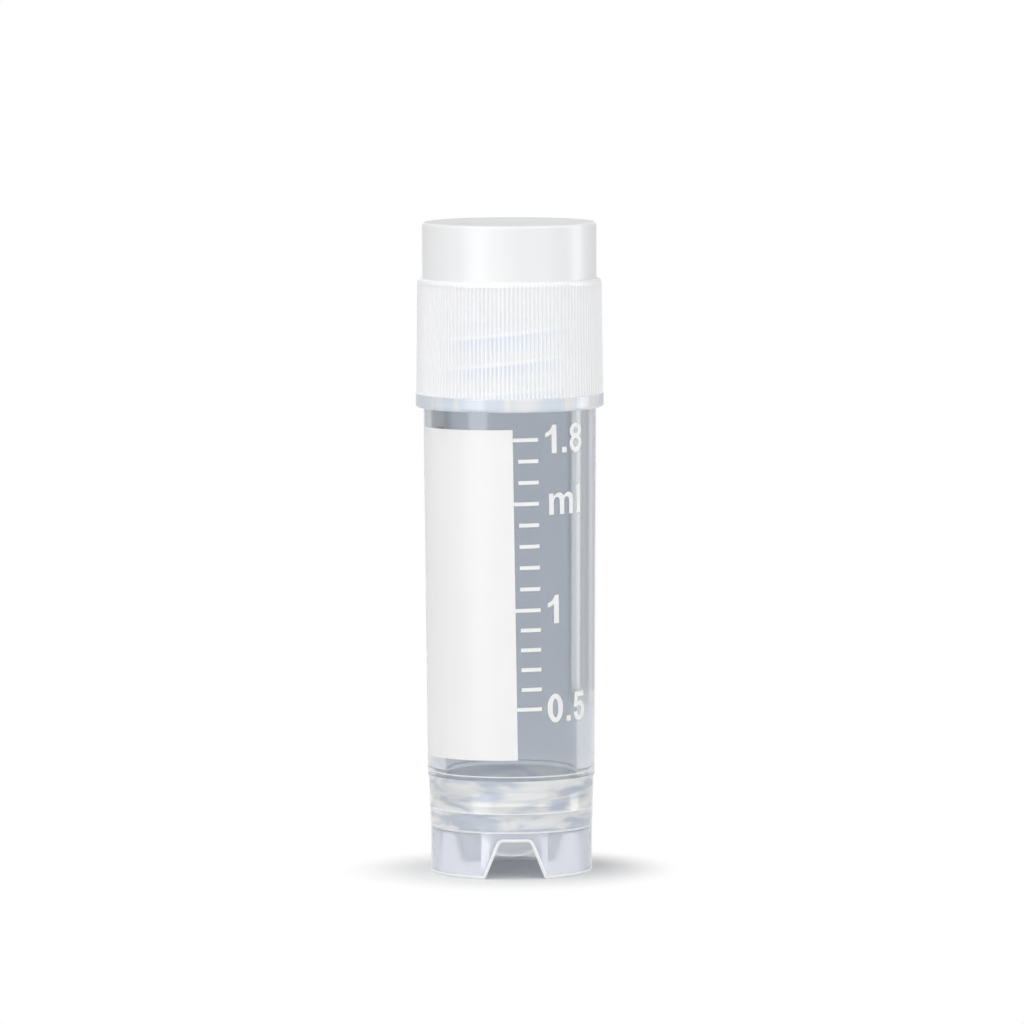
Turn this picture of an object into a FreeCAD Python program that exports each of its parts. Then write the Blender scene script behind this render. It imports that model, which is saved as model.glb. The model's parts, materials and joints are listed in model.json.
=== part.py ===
import FreeCAD, Part

import math
import os

import Sketcher

# A self-standing 1.8 ml freezing vial with an external-thread screw cap, in millimetres and degrees.
# +Z is the tube's axis and the origin is the middle of the plane that the foot stands on.
# -Y is the front, where the tube carries its graduations.

SIZES = [
    ("vial_height", 44.6, "foot to mouth"),
    ("tube_radius", 6.25, "outside of the tube at the shoulder"),
    ("tube_wall", 1.4, "tube's radius less the bore's radius at the mouth"),
    ("tube_draft", 0.43, "taper of the outside, degrees a side"),
    ("bore_draft", 0.1, "taper of the bore, degrees a side"),
    ("shoulder_round", 0.25, "edge where the tube ends under the cap"),
    ("mouth_round", 0.15, "edges of the mouth"),
    ("neck_length", 10.35, "shoulder to mouth"),
    ("neck_wall", 0.6, "bore to the foot of the thread"),
    ("floor_height", 4.2, "bottom of the bore"),
    ("bowl_round", 2.8, "round corner between the bore and its bottom"),
    ("step_height", 7.13, "step in the outside"),
    ("step_width", 0.08, "how far the outside steps in"),
    ("step_rise", 0.12, "height over which it steps in"),
    ("foot_inset", 0.42, "tube's radius less the foot skirt's radius"),
    ("foot_height", 3.4, "fine line round the top of the foot skirt"),
    ("foot_line", 0.06, "depth of that line"),
    ("foot_lip", 0.03, "how far the base stands out over the foot skirt"),
    ("foot_wall", 0.5, "thickness of the foot skirt"),
    ("foot_round", 0.15, "outer edges of the foot skirt and its notches"),
    ("foot_inner_round", 0.1, "inner edges of the foot skirt and its notches"),
    ("recess_height", 3.26, "roof of the hollow inside the foot skirt"),
    ("recess_flat", 1.5, "flat ring of that roof, round the dome"),
    ("dome_drop", 2.26, "how far the dome hangs from that roof"),
    ("notch_count", 3, "notches in the foot skirt"),
    ("notch_turn", 2.7, "first notch from the front, degrees"),
    ("notch_height", 2.7, "height of a notch"),
    ("notch_top_width", 2.15, "width of a notch at its top"),
    ("notch_foot_width", 4.3, "width of a notch at the foot's plane"),
    ("notch_round", 0.35, "upper corners of a notch"),
    ("toe_round", 0.25, "lower corners of a notch"),
    ("thread_starts", 2, "ridges side by side"),
    ("thread_lead", 4.2, "rise in one turn"),
    ("thread_depth", 0.4, "height of a ridge on the neck"),
    ("thread_root_width", 0.95, "width of a ridge at its foot"),
    ("thread_crest_width", 0.4, "width of a ridge on the neck at its crest"),
    ("thread_sink", 0.1, "how far a ridge is rooted in its wall"),
    ("neck_thread_lift", 1.15, "shoulder to the start of the neck's ridges"),
    ("neck_thread_rise", 6.2, "start to end of the neck's ridges"),
    ("neck_thread_turn", 47.0, "start of the neck's first ridge from +X, degrees"),
    ("cap_thread_lift", 2.15, "cap's rim to the start of its ridges"),
    ("cap_thread_rise", 5.0, "start to end of the cap's ridges"),
    ("crest_gap", 0.1, "radial clearance over the neck's ridges"),
    ("root_gap", 0.13, "radial clearance of the cap's ridges over the neck"),
    ("flank_gap", 0.1, "clearance along the axis between the ridges"),
    ("rim_lap", 0.5, "how far the cap's rim reaches below the shoulder"),
    ("rim_gap", 0.1, "radial clearance of the cap's rim over the tube"),
    ("shoulder_gap", 0.2, "clearance along the axis over the shoulder"),
    ("band_height", 1.0, "plain band at the foot of the cap"),
    ("band_lip", 0.05, "how far the band stands out from the ribs"),
    ("band_round", 0.2, "lower edge of the band"),
    ("skirt_wall", 0.7, "ribbed skirt at its top, ribs included"),
    ("skirt_draft", 0.72, "taper of the ribbed skirt, degrees a side"),
    ("rib_count", 136, "grip ribs"),
    ("rib_height", 7.92, "length of a rib"),
    ("rib_depth", 0.11, "depth of the grooves between the ribs"),
    ("rib_land", 0.35, "flat top of a rib, as a share of the pitch"),
    ("groove_overrun", 0.06, "how far a groove's cutter stands out of the skirt"),
    ("collar_height", 0.38, "top of the ribs to the foot of the head"),
    ("collar_round", 0.28, "upper edge of the collar"),
    ("head_inset", 0.35, "collar's radius less the head's radius"),
    ("head_gap", 0.17, "radial clearance of the head's bore over the neck"),
    ("head_round", 0.25, "upper edge of the head"),
    ("bore_drop", 0.75, "foot of the head less the top of the threaded bore"),
    ("bore_cone", 0.25, "height of the cone between the two bores"),
    ("roof", 1.5, "thickness of the cap's roof"),
    ("gasket_thickness", 1.0, "washer between the mouth and the roof"),
    ("gasket_gap", 0.05, "clearance round the washer"),
    ("gasket_lap", 0.35, "how far the washer reaches inside the mouth"),
    ("gasket_round", 0.1, "edges of the washer"),
    ("boss_drop", 0.6, "length of the boss that keeps the washer central"),
]

doc = FreeCAD.newDocument("cryovial")
sheet = doc.addObject("Spreadsheet::Sheet", "dims")
for row, (alias, number, meaning) in enumerate(SIZES, start=1):
    sheet.set(f"A{row}", str(number))
    sheet.set(f"B{row}", meaning)
    sheet.setAlias(f"A{row}", alias)
doc.recompute()

# Sizes worked out from the driving ones. The vial's heights start at the foot's plane.
SHOULDER = "(dims.vial_height - dims.neck_length)"
MOUTH_BORE = "(dims.tube_radius - dims.tube_wall)"
NECK_RADIUS = f"({MOUTH_BORE} + dims.neck_wall)"
NECK_CREST = f"({NECK_RADIUS} + dims.thread_depth)"
STEP_RADIUS = f"(dims.tube_radius - ({SHOULDER} - dims.step_height) * tan(dims.tube_draft * 1 deg))"
FOOT_RADIUS = "(dims.tube_radius - dims.foot_inset)"
RECESS_RADIUS = f"({FOOT_RADIUS} - dims.foot_wall)"
DOME_RADIUS = f"({RECESS_RADIUS} - dims.recess_flat)"
BORE_DEPTH = "(dims.vial_height - dims.floor_height)"
FLOOR_RADIUS = f"({MOUTH_BORE} - {BORE_DEPTH} * tan(dims.bore_draft * 1 deg))"

# The cap's heights start at its rim.
CAP_SEAT = f"({SHOULDER} - dims.rim_lap)"
CAP_DEPTH = "(dims.rim_lap + dims.neck_length + dims.gasket_thickness)"
CAP_HEIGHT = f"({CAP_DEPTH} + dims.roof)"
CAP_BORE = f"({NECK_CREST} + dims.crest_gap)"
CAP_CREST = f"({NECK_RADIUS} + dims.root_gap)"
RIM_BORE = "(dims.tube_radius + dims.rim_gap)"
RIM_BORE_TOP = "(dims.rim_lap + dims.shoulder_gap)"
RIB_TOP = "(dims.band_height + dims.rib_height)"
COLLAR_TOP = f"({RIB_TOP} + dims.collar_height)"
COLLAR_RADIUS = f"({CAP_BORE} + dims.skirt_wall)"
SKIRT_RADIUS = f"({COLLAR_RADIUS} + dims.rib_height * tan(dims.skirt_draft * 1 deg))"
BAND_RADIUS = f"({SKIRT_RADIUS} + dims.band_lip)"
HEAD_RADIUS = f"({COLLAR_RADIUS} - dims.head_inset)"
HEAD_BORE = f"({NECK_RADIUS} + dims.head_gap)"
BORE_TOP = f"({COLLAR_TOP} - dims.bore_drop)"

# The washer's heights start at the mouth.
GASKET_RADIUS = f"({HEAD_BORE} - dims.gasket_gap)"
GASKET_HOLE = f"({MOUTH_BORE} - dims.gasket_lap)"
BOSS_RADIUS = f"({GASKET_HOLE} - dims.gasket_gap)"

# Both threads follow one helix. The cap's ridges run one ridge and one flank clearance below the neck's.
RIDGE_TAPER = "((dims.thread_root_width - dims.thread_crest_width) / dims.thread_depth)"
RIDGE_OFFSET = (
    f"(dims.thread_root_width - {RIDGE_TAPER} * (dims.thread_depth + dims.crest_gap) / 2"
    " + dims.flank_gap)"
)
CAP_CREST_WIDTH = f"(dims.thread_root_width - {RIDGE_TAPER} * ({CAP_BORE} - {CAP_CREST}))"
NECK_THREAD_FOOT = f"({SHOULDER} + dims.neck_thread_lift)"
CAP_THREAD_TURN = (
    f"(dims.neck_thread_turn + 360 / dims.thread_lead"
    f" * ({CAP_SEAT} + dims.cap_thread_lift - {NECK_THREAD_FOOT} + {RIDGE_OFFSET}))"
)

AXIS = "0"
NEAR = 1e-4
FULL_TURN = 360

# The sketcher's own numbers for a sketch's two axes and for the points of a side.
ACROSS_AXIS, UP_AXIS = -1, -2
START, END, CENTRE = 1, 2, 3
SKETCH_ORIGIN = (ACROSS_AXIS, START)


def size(expression):
    """The number that an expression on the sheet gives."""
    return float(sheet.evalExpression(expression))


def new_body(label):
    body = doc.addObject("PartDesign::Body", label)
    body.Label = label
    return body


def origin_feature(body, role):
    """One of the planes or axes of the body's own origin."""
    return next(item for item in body.Origin.OriginFeatures if item.Role == role)


def new_sketch(body, name, plane):
    """An empty sketch on one of the body's own origin planes."""
    sketch = body.newObject("Sketcher::SketchObject", name)
    sketch.AttachmentSupport = [(origin_feature(body, plane), "")]
    sketch.MapMode = "FlatFace"
    return sketch


def turn_sketch(sketch, turn, distance=AXIS):
    """Turn an XZ sketch about the tube's axis, then move it out along its own normal."""
    sketch.AttachmentOffset = FreeCAD.Placement(
        FreeCAD.Vector(), FreeCAD.Rotation(FreeCAD.Vector(0, 1, 0), size(turn))
    )
    sketch.setExpression("AttachmentOffset.Rotation.Angle", f"({turn}) * 1 deg")
    sketch.setExpression("AttachmentOffset.Base.x", f"{distance} * sin({turn} * 1 deg)")
    sketch.setExpression("AttachmentOffset.Base.z", f"{distance} * cos({turn} * 1 deg)")


def dome_arc(lowest, edge):
    """An arc that climbs from a point on the sketch's vertical axis, centred on that axis."""
    radius = (edge - lowest).Length ** 2 / (2 * (edge.y - lowest.y))
    centre = lowest + FreeCAD.Vector(0, radius, 0)
    circle = Part.Circle(centre, FreeCAD.Vector(0, 0, 1), radius)
    return Part.ArcOfCircle(circle, *(math.atan2(p.y - centre.y, p.x) for p in (lowest, edge)))


def pin(sketch, side, across, up):
    """Tie a side's start to the sheet by its distances from the sketch's two axes."""
    for kind, axis, distance in (("DistanceX", UP_AXIS, across), ("DistanceY", ACROSS_AXIS, up)):
        if distance == AXIS:
            sketch.addConstraint(Sketcher.Constraint("PointOnObject", side, START, axis))
            continue
        constraint = Sketcher.Constraint(kind, *SKETCH_ORIGIN, side, START, size(distance))
        index = sketch.addConstraint(constraint)
        sketch.setExpression(f"Constraints[{index}]", distance)


def draw_outline(sketch, corners, domed=False):
    """A closed outline through corners, each a pair of expressions.

    Its sides are straight. Where it is domed, the first one is an arc that starts on the axis.
    """
    points = [FreeCAD.Vector(size(across), size(up), 0) for across, up in corners]
    curves = [Part.LineSegment(start, end) for start, end in zip(points, points[1:] + points[:1])]
    if domed:
        curves[0] = dome_arc(points[0], points[1])
    sides = [sketch.addGeometry(curve) for curve in curves]
    if domed:
        sketch.addConstraint(Sketcher.Constraint("PointOnObject", sides[0], CENTRE, UP_AXIS))
    for side, following in zip(sides, sides[1:] + sides[:1]):
        sketch.addConstraint(Sketcher.Constraint("Coincident", side, END, following, START))
    for side, corner in zip(sides, corners):
        pin(sketch, side, *corner)


def revolve(body, name, corners, domed=False):
    """A full turn of an outline about the tube's axis."""
    sketch = new_sketch(body, f"{name}_outline", "XZ_Plane")
    draw_outline(sketch, corners, domed)
    solid = body.newObject("PartDesign::Revolution", name)
    solid.Profile = sketch
    solid.ReferenceAxis = (sketch, ["V_Axis"])
    sketch.Visibility = False
    doc.recompute()
    return solid


def edges_of(feature, kind):
    """The feature's edges of one kind with their names, leaving out the poles of its surfaces."""
    for number, edge in enumerate(feature.Shape.Edges, start=1):
        if not edge.Degenerated and isinstance(edge.Curve, kind):
            yield f"Edge{number}", edge


def ring_edge(feature, radius, height):
    """The name of the feature's circular edge at a radius and a height."""
    for name, edge in edges_of(feature, Part.Circle):
        ring = edge.Curve
        if abs(ring.Radius - size(radius)) < NEAR and abs(ring.Center.z - size(height)) < NEAR:
            return name
    raise ValueError(f"{feature.Name} has no ring of radius {radius} at {height}")


def edge_points(edge):
    """An edge's middle and its ends."""
    return [edge.valueAt((edge.FirstParameter + edge.LastParameter) / 2)] + [v.Point for v in edge.Vertexes]


def edges_at(feature, height, kind):
    """The names of the feature's edges of one kind at a height."""
    return [
        name
        for name, edge in edges_of(feature, kind)
        if all(abs(point.z - height) < NEAR for point in edge_points(edge))
    ]


def wall_edges(feature, radius, top):
    """The names of the feature's edges on a round wall, from the foot's plane up to a height."""
    return [
        name
        for name, edge in edges_of(feature, object)
        if all(
            abs(math.hypot(point.x, point.y) - radius) < NEAR and point.z < top + NEAR
            for point in edge_points(edge)
        )
    ]


def round_edges(body, name, feature, edges, radius):
    fillet = body.newObject("PartDesign::Fillet", name)
    fillet.Base = (feature, edges)
    fillet.setExpression("Radius", radius)
    doc.recompute()
    return fillet


def repeat_round(body, name, feature, count):
    """Repeat a feature evenly round the tube's axis."""
    pattern = body.newObject("PartDesign::PolarPattern", name)
    pattern.Originals = [feature]
    pattern.Axis = (origin_feature(body, "Z_Axis"), [""])
    pattern.Angle = FULL_TURN
    pattern.setExpression("Occurrences", count)
    body.Tip = pattern
    doc.recompute()
    return pattern


def add_thread(body, name, corners, turn, rise):
    """Ridges that climb the helix, right-handed, one for each start of the thread."""
    sketch = new_sketch(body, f"{name}_outline", "XZ_Plane")
    turn_sketch(sketch, turn)
    draw_outline(sketch, corners)
    ridge = body.newObject("PartDesign::AdditiveHelix", name)
    ridge.Profile = sketch
    ridge.ReferenceAxis = (sketch, ["V_Axis"])
    ridge.setExpression("Pitch", "dims.thread_lead")
    ridge.setExpression("Height", rise)
    sketch.Visibility = False
    doc.recompute()
    return repeat_round(body, f"{name}_starts", ridge, "dims.thread_starts")


def ridge_corners(root, crest, root_width, crest_width, height):
    """A ridge's section: a trapezoid from its rooted side to its crest, about a height."""
    return [
        (root, f"({height} - {root_width} / 2)"),
        (crest, f"({height} - {crest_width} / 2)"),
        (crest, f"({height} + {crest_width} / 2)"),
        (root, f"({height} + {root_width} / 2)"),
    ]


def make_vial():
    """The tube with its floor, threaded neck and notched foot, all one moulding."""
    vial = new_body("vial")
    blank = revolve(
        vial,
        "tube",
        [
            (AXIS, "(dims.recess_height - dims.dome_drop)"),
            (DOME_RADIUS, "dims.recess_height"),
            (RECESS_RADIUS, "dims.recess_height"),
            (RECESS_RADIUS, AXIS),
            (FOOT_RADIUS, AXIS),
            (FOOT_RADIUS, "(dims.foot_height - dims.foot_line)"),
            (f"({FOOT_RADIUS} - dims.foot_line)", "dims.foot_height"),
            (f"({FOOT_RADIUS} + dims.foot_lip)", "(dims.foot_height + dims.foot_line)"),
            (f"({STEP_RADIUS} - dims.step_width)", "(dims.step_height - dims.step_rise)"),
            (STEP_RADIUS, "dims.step_height"),
            ("dims.tube_radius", SHOULDER),
            (NECK_RADIUS, SHOULDER),
            (NECK_RADIUS, "dims.vial_height"),
            (MOUTH_BORE, "dims.vial_height"),
            (FLOOR_RADIUS, "dims.floor_height"),
            (AXIS, "dims.floor_height"),
        ],
        domed=True,
    )
    for name, radius, height, edge_radius in (
        ("shoulder_edge", "dims.tube_radius", SHOULDER, "dims.shoulder_round"),
        ("mouth_edge", NECK_RADIUS, "dims.vial_height", "dims.mouth_round"),
        ("bore_edge", MOUTH_BORE, "dims.vial_height", "dims.mouth_round"),
        ("bowl_edge", FLOOR_RADIUS, "dims.floor_height", "dims.bowl_round"),
    ):
        blank = round_edges(vial, name, blank, [ring_edge(blank, radius, height)], edge_radius)

    notch_outline = new_sketch(vial, "notch_outline", "XZ_Plane")
    turn_sketch(notch_outline, "dims.notch_turn", DOME_RADIUS)
    draw_outline(
        notch_outline,
        [
            ("(-dims.notch_foot_width / 2)", AXIS),
            ("(dims.notch_foot_width / 2)", AXIS),
            ("(dims.notch_top_width / 2)", "dims.notch_height"),
            ("(-dims.notch_top_width / 2)", "dims.notch_height"),
        ],
    )
    notch = vial.newObject("PartDesign::Pocket", "notch")
    notch.Profile = notch_outline
    notch.Reversed = True
    notch.setExpression("Length", "dims.recess_flat + 2 * dims.foot_wall")
    notch_outline.Visibility = False
    doc.recompute()
    notches = repeat_round(vial, "notches", notch, "dims.notch_count")

    # The short edges come first, so that the long ones run round the foot without a sharp corner.
    foot = notches
    top = size("dims.notch_height")
    for name, height, edge_radius in (
        ("notch_corners", top, "dims.notch_round"),
        ("toes", 0, "dims.toe_round"),
    ):
        foot = round_edges(vial, name, foot, edges_at(foot, height, Part.Line), edge_radius)
    for name, radius, edge_radius in (
        ("foot_edges", FOOT_RADIUS, "dims.foot_round"),
        ("recess_edges", RECESS_RADIUS, "dims.foot_inner_round"),
    ):
        foot = round_edges(vial, name, foot, wall_edges(foot, size(radius), top), edge_radius)

    add_thread(
        vial,
        "neck_thread",
        ridge_corners(
            f"({NECK_RADIUS} - dims.thread_sink)",
            NECK_CREST,
            f"(dims.thread_root_width + {RIDGE_TAPER} * dims.thread_sink)",
            "dims.thread_crest_width",
            NECK_THREAD_FOOT,
        ),
        "dims.neck_thread_turn",
        "dims.neck_thread_rise",
    )
    return vial


def make_cap():
    """The screw cap: ribbed skirt, plain rim, smooth head, inner thread and the washer's boss."""
    cap = new_body("cap")
    blank = revolve(
        cap,
        "shell",
        [
            (RIM_BORE, AXIS),
            (BAND_RADIUS, AXIS),
            (BAND_RADIUS, "dims.band_height"),
            (SKIRT_RADIUS, "dims.band_height"),
            (COLLAR_RADIUS, RIB_TOP),
            (COLLAR_RADIUS, COLLAR_TOP),
            (HEAD_RADIUS, COLLAR_TOP),
            (HEAD_RADIUS, CAP_HEIGHT),
            (AXIS, CAP_HEIGHT),
            (AXIS, f"({CAP_DEPTH} - dims.boss_drop)"),
            (BOSS_RADIUS, f"({CAP_DEPTH} - dims.boss_drop)"),
            (BOSS_RADIUS, CAP_DEPTH),
            (HEAD_BORE, CAP_DEPTH),
            (HEAD_BORE, f"({BORE_TOP} + dims.bore_cone)"),
            (CAP_BORE, BORE_TOP),
            (CAP_BORE, RIM_BORE_TOP),
            (RIM_BORE, RIM_BORE_TOP),
        ],
    )
    for name, radius, height, edge_radius in (
        ("band_edge", BAND_RADIUS, AXIS, "dims.band_round"),
        ("collar_edge", COLLAR_RADIUS, COLLAR_TOP, "dims.collar_round"),
        ("head_edge", HEAD_RADIUS, CAP_HEIGHT, "dims.head_round"),
    ):
        blank = round_edges(cap, name, blank, [ring_edge(blank, radius, height)], edge_radius)

    groove_outline = new_sketch(cap, "groove_outline", "XY_Plane")
    groove_outline.setExpression("AttachmentOffset.Base.z", "dims.band_height")
    groove_half = (
        f"(pi * {SKIRT_RADIUS} / dims.rib_count * (1 - dims.rib_land)"
        " * (1 + dims.groove_overrun / dims.rib_depth))"
    )
    groove_out = f"({SKIRT_RADIUS} + dims.groove_overrun)"
    draw_outline(
        groove_outline,
        [
            (f"({SKIRT_RADIUS} - dims.rib_depth)", AXIS),
            (groove_out, groove_half),
            (groove_out, f"(-{groove_half})"),
        ],
    )
    groove = cap.newObject("PartDesign::Pocket", "groove")
    groove.Profile = groove_outline
    groove.UseCustomVector = True
    groove.Direction = FreeCAD.Vector(0, 0, 1)
    groove.setExpression("Direction.x", "-sin(dims.skirt_draft * 1 deg)")
    groove.setExpression("Direction.z", "cos(dims.skirt_draft * 1 deg)")
    groove.setExpression("Length", "dims.rib_height")
    groove_outline.Visibility = False
    doc.recompute()
    repeat_round(cap, "grooves", groove, "dims.rib_count")

    add_thread(
        cap,
        "cap_thread",
        ridge_corners(
            f"({CAP_BORE} + dims.thread_sink)",
            CAP_CREST,
            f"(dims.thread_root_width + {RIDGE_TAPER} * dims.thread_sink)",
            CAP_CREST_WIDTH,
            "dims.cap_thread_lift",
        ),
        CAP_THREAD_TURN,
        "dims.cap_thread_rise",
    )
    cap.setExpression("Placement.Base.z", CAP_SEAT)
    return cap


def make_gasket():
    """The silicone washer that seals the mouth against the cap's roof."""
    gasket = new_body("gasket")
    washer = revolve(
        gasket,
        "washer",
        [
            (GASKET_HOLE, AXIS),
            (GASKET_RADIUS, AXIS),
            (GASKET_RADIUS, "dims.gasket_thickness"),
            (GASKET_HOLE, "dims.gasket_thickness"),
        ],
    )
    edges = [
        ring_edge(washer, radius, height)
        for radius in (GASKET_HOLE, GASKET_RADIUS)
        for height in (AXIS, "dims.gasket_thickness")
    ]
    round_edges(gasket, "washer_edges", washer, edges, "dims.gasket_round")
    gasket.setExpression("Placement.Base.z", "dims.vial_height")
    return gasket


def check(pieces):
    """Stop if any object failed or any piece isn't one sound solid."""
    for item in doc.Objects:
        if {"Invalid", "Error"} & set(item.State):
            raise RuntimeError(f"{item.Name} failed: {item.State}")
    for piece in pieces:
        shape = piece.Shape
        if shape.isNull() or not shape.isValid() or len(shape.Solids) != 1:
            raise RuntimeError(f"{piece.Label} isn't one valid solid")


pieces = [make_vial(), make_cap(), make_gasket()]
doc.recompute()
check(pieces)
os.makedirs("parts", exist_ok=True)
for piece in pieces:
    piece.Shape.exportStep(f"parts/{piece.Label}.step")
    print(f"{piece.Label}: {piece.Shape.Volume:.2f} mm3")
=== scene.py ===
import json
import math

import bmesh
import bpy
from mathutils import Matrix, Vector


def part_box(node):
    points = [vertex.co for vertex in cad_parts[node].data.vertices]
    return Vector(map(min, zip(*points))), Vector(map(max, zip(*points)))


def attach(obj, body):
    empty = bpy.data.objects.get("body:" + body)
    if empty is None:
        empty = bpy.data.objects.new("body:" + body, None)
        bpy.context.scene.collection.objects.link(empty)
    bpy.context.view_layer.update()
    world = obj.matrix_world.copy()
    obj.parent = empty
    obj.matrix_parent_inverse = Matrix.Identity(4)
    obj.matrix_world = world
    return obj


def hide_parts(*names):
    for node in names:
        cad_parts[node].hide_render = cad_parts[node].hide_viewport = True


# A self-standing freezing vial: clear moulded tube, milky screw cap, washer and white printed marks.
# Metres throughout. +Z runs up the tube's axis, -Y is the front, and the foot stands on z = 0.
# Turned shapes and the print are laid out in millimetres and scaled when their meshes are made.

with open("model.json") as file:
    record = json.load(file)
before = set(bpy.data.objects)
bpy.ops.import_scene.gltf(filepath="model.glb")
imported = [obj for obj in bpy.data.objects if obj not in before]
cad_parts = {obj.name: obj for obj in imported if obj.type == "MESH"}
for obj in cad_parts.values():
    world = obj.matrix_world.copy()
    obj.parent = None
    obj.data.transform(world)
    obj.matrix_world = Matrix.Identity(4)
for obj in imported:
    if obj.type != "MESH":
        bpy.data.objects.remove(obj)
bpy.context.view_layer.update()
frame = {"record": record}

MM = 0.001
VIAL_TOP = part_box("vial")[1].z / MM
CAP_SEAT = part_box("cap")[0].z / MM
CAP_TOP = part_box("cap")[1].z / MM
BAND_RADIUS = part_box("cap")[1].x / MM
MOUNTS = {mount["name"]: mount for mount in frame["record"]["mounts"]}
SHOULDER_RADIUS = MOUNTS["rack_cell"]["dims"]["r_mm"]
HEAD_RADIUS = MOUNTS["cap_head"]["dims"]["r_mm"]

# The tube. Heights start at the foot's plane.
RIM_LAP = 0.5
SHOULDER_HEIGHT, SHOULDER_ROUND = CAP_SEAT + RIM_LAP, 0.25
TUBE_DRAFT = math.radians(0.43)
STEP_HEIGHT, STEP_RISE, STEP_WIDTH = 7.13, 0.3, 0.08
LOW_RING, HIGH_RING, RING_WIDTH, RING_RISE = 4.75, 7.45, 0.07, 0.015
FOOT_RADIUS, FOOT_HEIGHT, FOOT_LINE, FOOT_LIP = 5.83, 3.4, 0.06, 0.03
RECESS_RADIUS, RECESS_HEIGHT, RECESS_ROUND = 5.33, 3.26, 0.15
DOME_RADIUS, DOME_LOW, DOME_STEPS = 3.83, 1.0, 14
NECK_RADIUS, MOUTH_BORE, MOUTH_ROUND = 5.45, 4.85, 0.15
FLOOR_RADIUS, FLOOR_HEIGHT, BOWL_ROUND = 4.78, 4.2, 2.8

# The foot skirt's rim: its notches and rounds. Turns go from the front to the right.
NOTCH_COUNT = 3
NOTCH_TURN = math.radians(2.7)
NOTCH_FOOT, NOTCH_TOP, NOTCH_HEIGHT = 4.3, 2.15, 2.7
NOTCH_ROUND, TOE_ROUND = 0.35, 0.25
OUTER_ROUND, INNER_ROUND = 0.15, 0.1
# EDGE_STRIP is how far the rim's rows, which take the painted edge highlight, reach up each wall.
EDGE_STRIP, COLUMN_WIDTH = 0.09, 0.17

# Both threads follow one helix, and the cap's ridges run below the neck's. Their start is from its rim.
THREAD_LEAD, THREAD_STARTS = 4.2, 2
THREAD_TURN = math.radians(47.0)
THREAD_RUN_OUT = 0.45
NECK_THREAD_ROW, CAP_THREAD_ROW = 0.07, 0.12
ROOT_WIDTH = 0.95
NECK_RIDGE, NECK_CREST_WIDTH = 0.4, 0.4
NECK_THREAD_FOOT, NECK_THREAD_RISE = SHOULDER_HEIGHT + 1.15, 6.2
CAP_RIDGE, CAP_CREST_WIDTH = 0.37, 0.44
CAP_THREAD_START, CAP_THREAD_RISE = 2.15, 5.0
CAP_THREAD_FOOT = CAP_SEAT + CAP_THREAD_START
RIDGE_OFFSET = 0.706
CAP_THREAD_TURN = THREAD_TURN + math.tau / THREAD_LEAD * (CAP_THREAD_FOOT - NECK_THREAD_FOOT + RIDGE_OFFSET)

# The stretches of wall that the threads may move. The cap's starts at its rim.
THREAD_MARGIN = 0.6
NECK_LOW = NECK_THREAD_FOOT - THREAD_MARGIN
NECK_HIGH = NECK_THREAD_FOOT + NECK_THREAD_RISE + THREAD_MARGIN
CAP_LOW = CAP_THREAD_START - THREAD_MARGIN
CAP_HIGH = CAP_THREAD_START + CAP_THREAD_RISE + THREAD_MARGIN

# The cap. Heights start at its rim.
CAP_HEIGHT = CAP_TOP - CAP_SEAT
BAND_HEIGHT = 1.0
SKIRT_RADIUS, RIB_TOP = 6.75, 8.92
COLLAR_RADIUS, COLLAR_TOP, COLLAR_ROUND = 6.65, 9.3, 0.28
HEAD_ROUND = 0.25
RIM_BORE, RIM_BORE_TOP = 6.35, 0.7
CAP_BORE, BORE_TOP = 5.95, 8.55
HEAD_BORE, HEAD_BORE_FOOT = 5.62, 8.8
CEILING, BOSS_RADIUS, BOSS_DROP = 11.85, 4.45, 0.6
RIB_COUNT, RIB_DEPTH, RIB_LAND = 136, 0.11, 0.35
COLUMNS_PER_RIB = 6

# The washer.
WASHER_HOLE, WASHER_RADIUS, WASHER_THICKNESS, WASHER_ROUND = 4.5, 5.57, 1.0, 0.1
WASHER_COLUMNS = 192

# How meshes are made: steps in a round, how far off a wall a point may lie to belong to it, and which
# edges stay sharp. The graduations keep their reach in an attribute.
ROUND_STEPS = 4
STEPS_PER_MM = 5
WALL_SLACK = 0.02
SHARP_ANGLE = math.radians(50)
REACH = "reach"

# The print is laid out flat: across from the tube's front line, and up from the foot.
# It is one plate, set a little askew about a point at PRINT_PIVOT.
PRINT_TURN = math.radians(0.7)
PRINT_PIVOT = 22.0
PRINT_STRIP = 0.2
INK_PROUD, INK_SUNK = 0.02, 0.02
PANEL_LEFT, PANEL_RIGHT = -8.7, 0.32
PANEL_FOOT, PANEL_TOP = 8.67, 32.5
TICK_LEFT, TICK_RIGHT, TICK_WIDTH = 0.68, 2.165, 0.27
PANEL_LAP = 0.05
HEIGHT_AT_HALF, HEIGHT_AT_ONE, HEIGHT_AT_FULL = 12.33, 19.48, 31.75
LONG_TENTHS = (5, 10, 15, 18)
LETTER_HEIGHT = 2.05

# The plastics. Relief is in metres. The skirt is painted with the thread inside as light shows it through
# the wall: a painted highlight over each ridge and painted shade under it, strongest in a few lobes round it,
# one of them at STREAK_TURN. The tube's tint fades out near the neck and the bowl.
PLASTIC_IOR, SILICONE_IOR, INK_IOR = 1.49, 1.41, 1.5
RELIEF_DEPTH = 0.0001
STREAK_TURN, STREAK_LOBES = math.radians(-96.0), 3.0
NECK_FADE, BOWL_FADE = 0.5, 1.5
WHITE = (1.0, 1.0, 1.0)
TUBE_PALE, TUBE_LOW, TUBE_HIGH = (0.93, 0.95, 0.98), (0.60, 0.64, 0.69), (0.66, 0.69, 0.735)
# The base's tint, and the painted highlight of light refracted in it, which lies in pale patches.
BASE_TINT, BASE_PAINTED_HIGHLIGHT = (0.64, 0.71, 0.82), (1.0, 1.0, 0.985)
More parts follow.
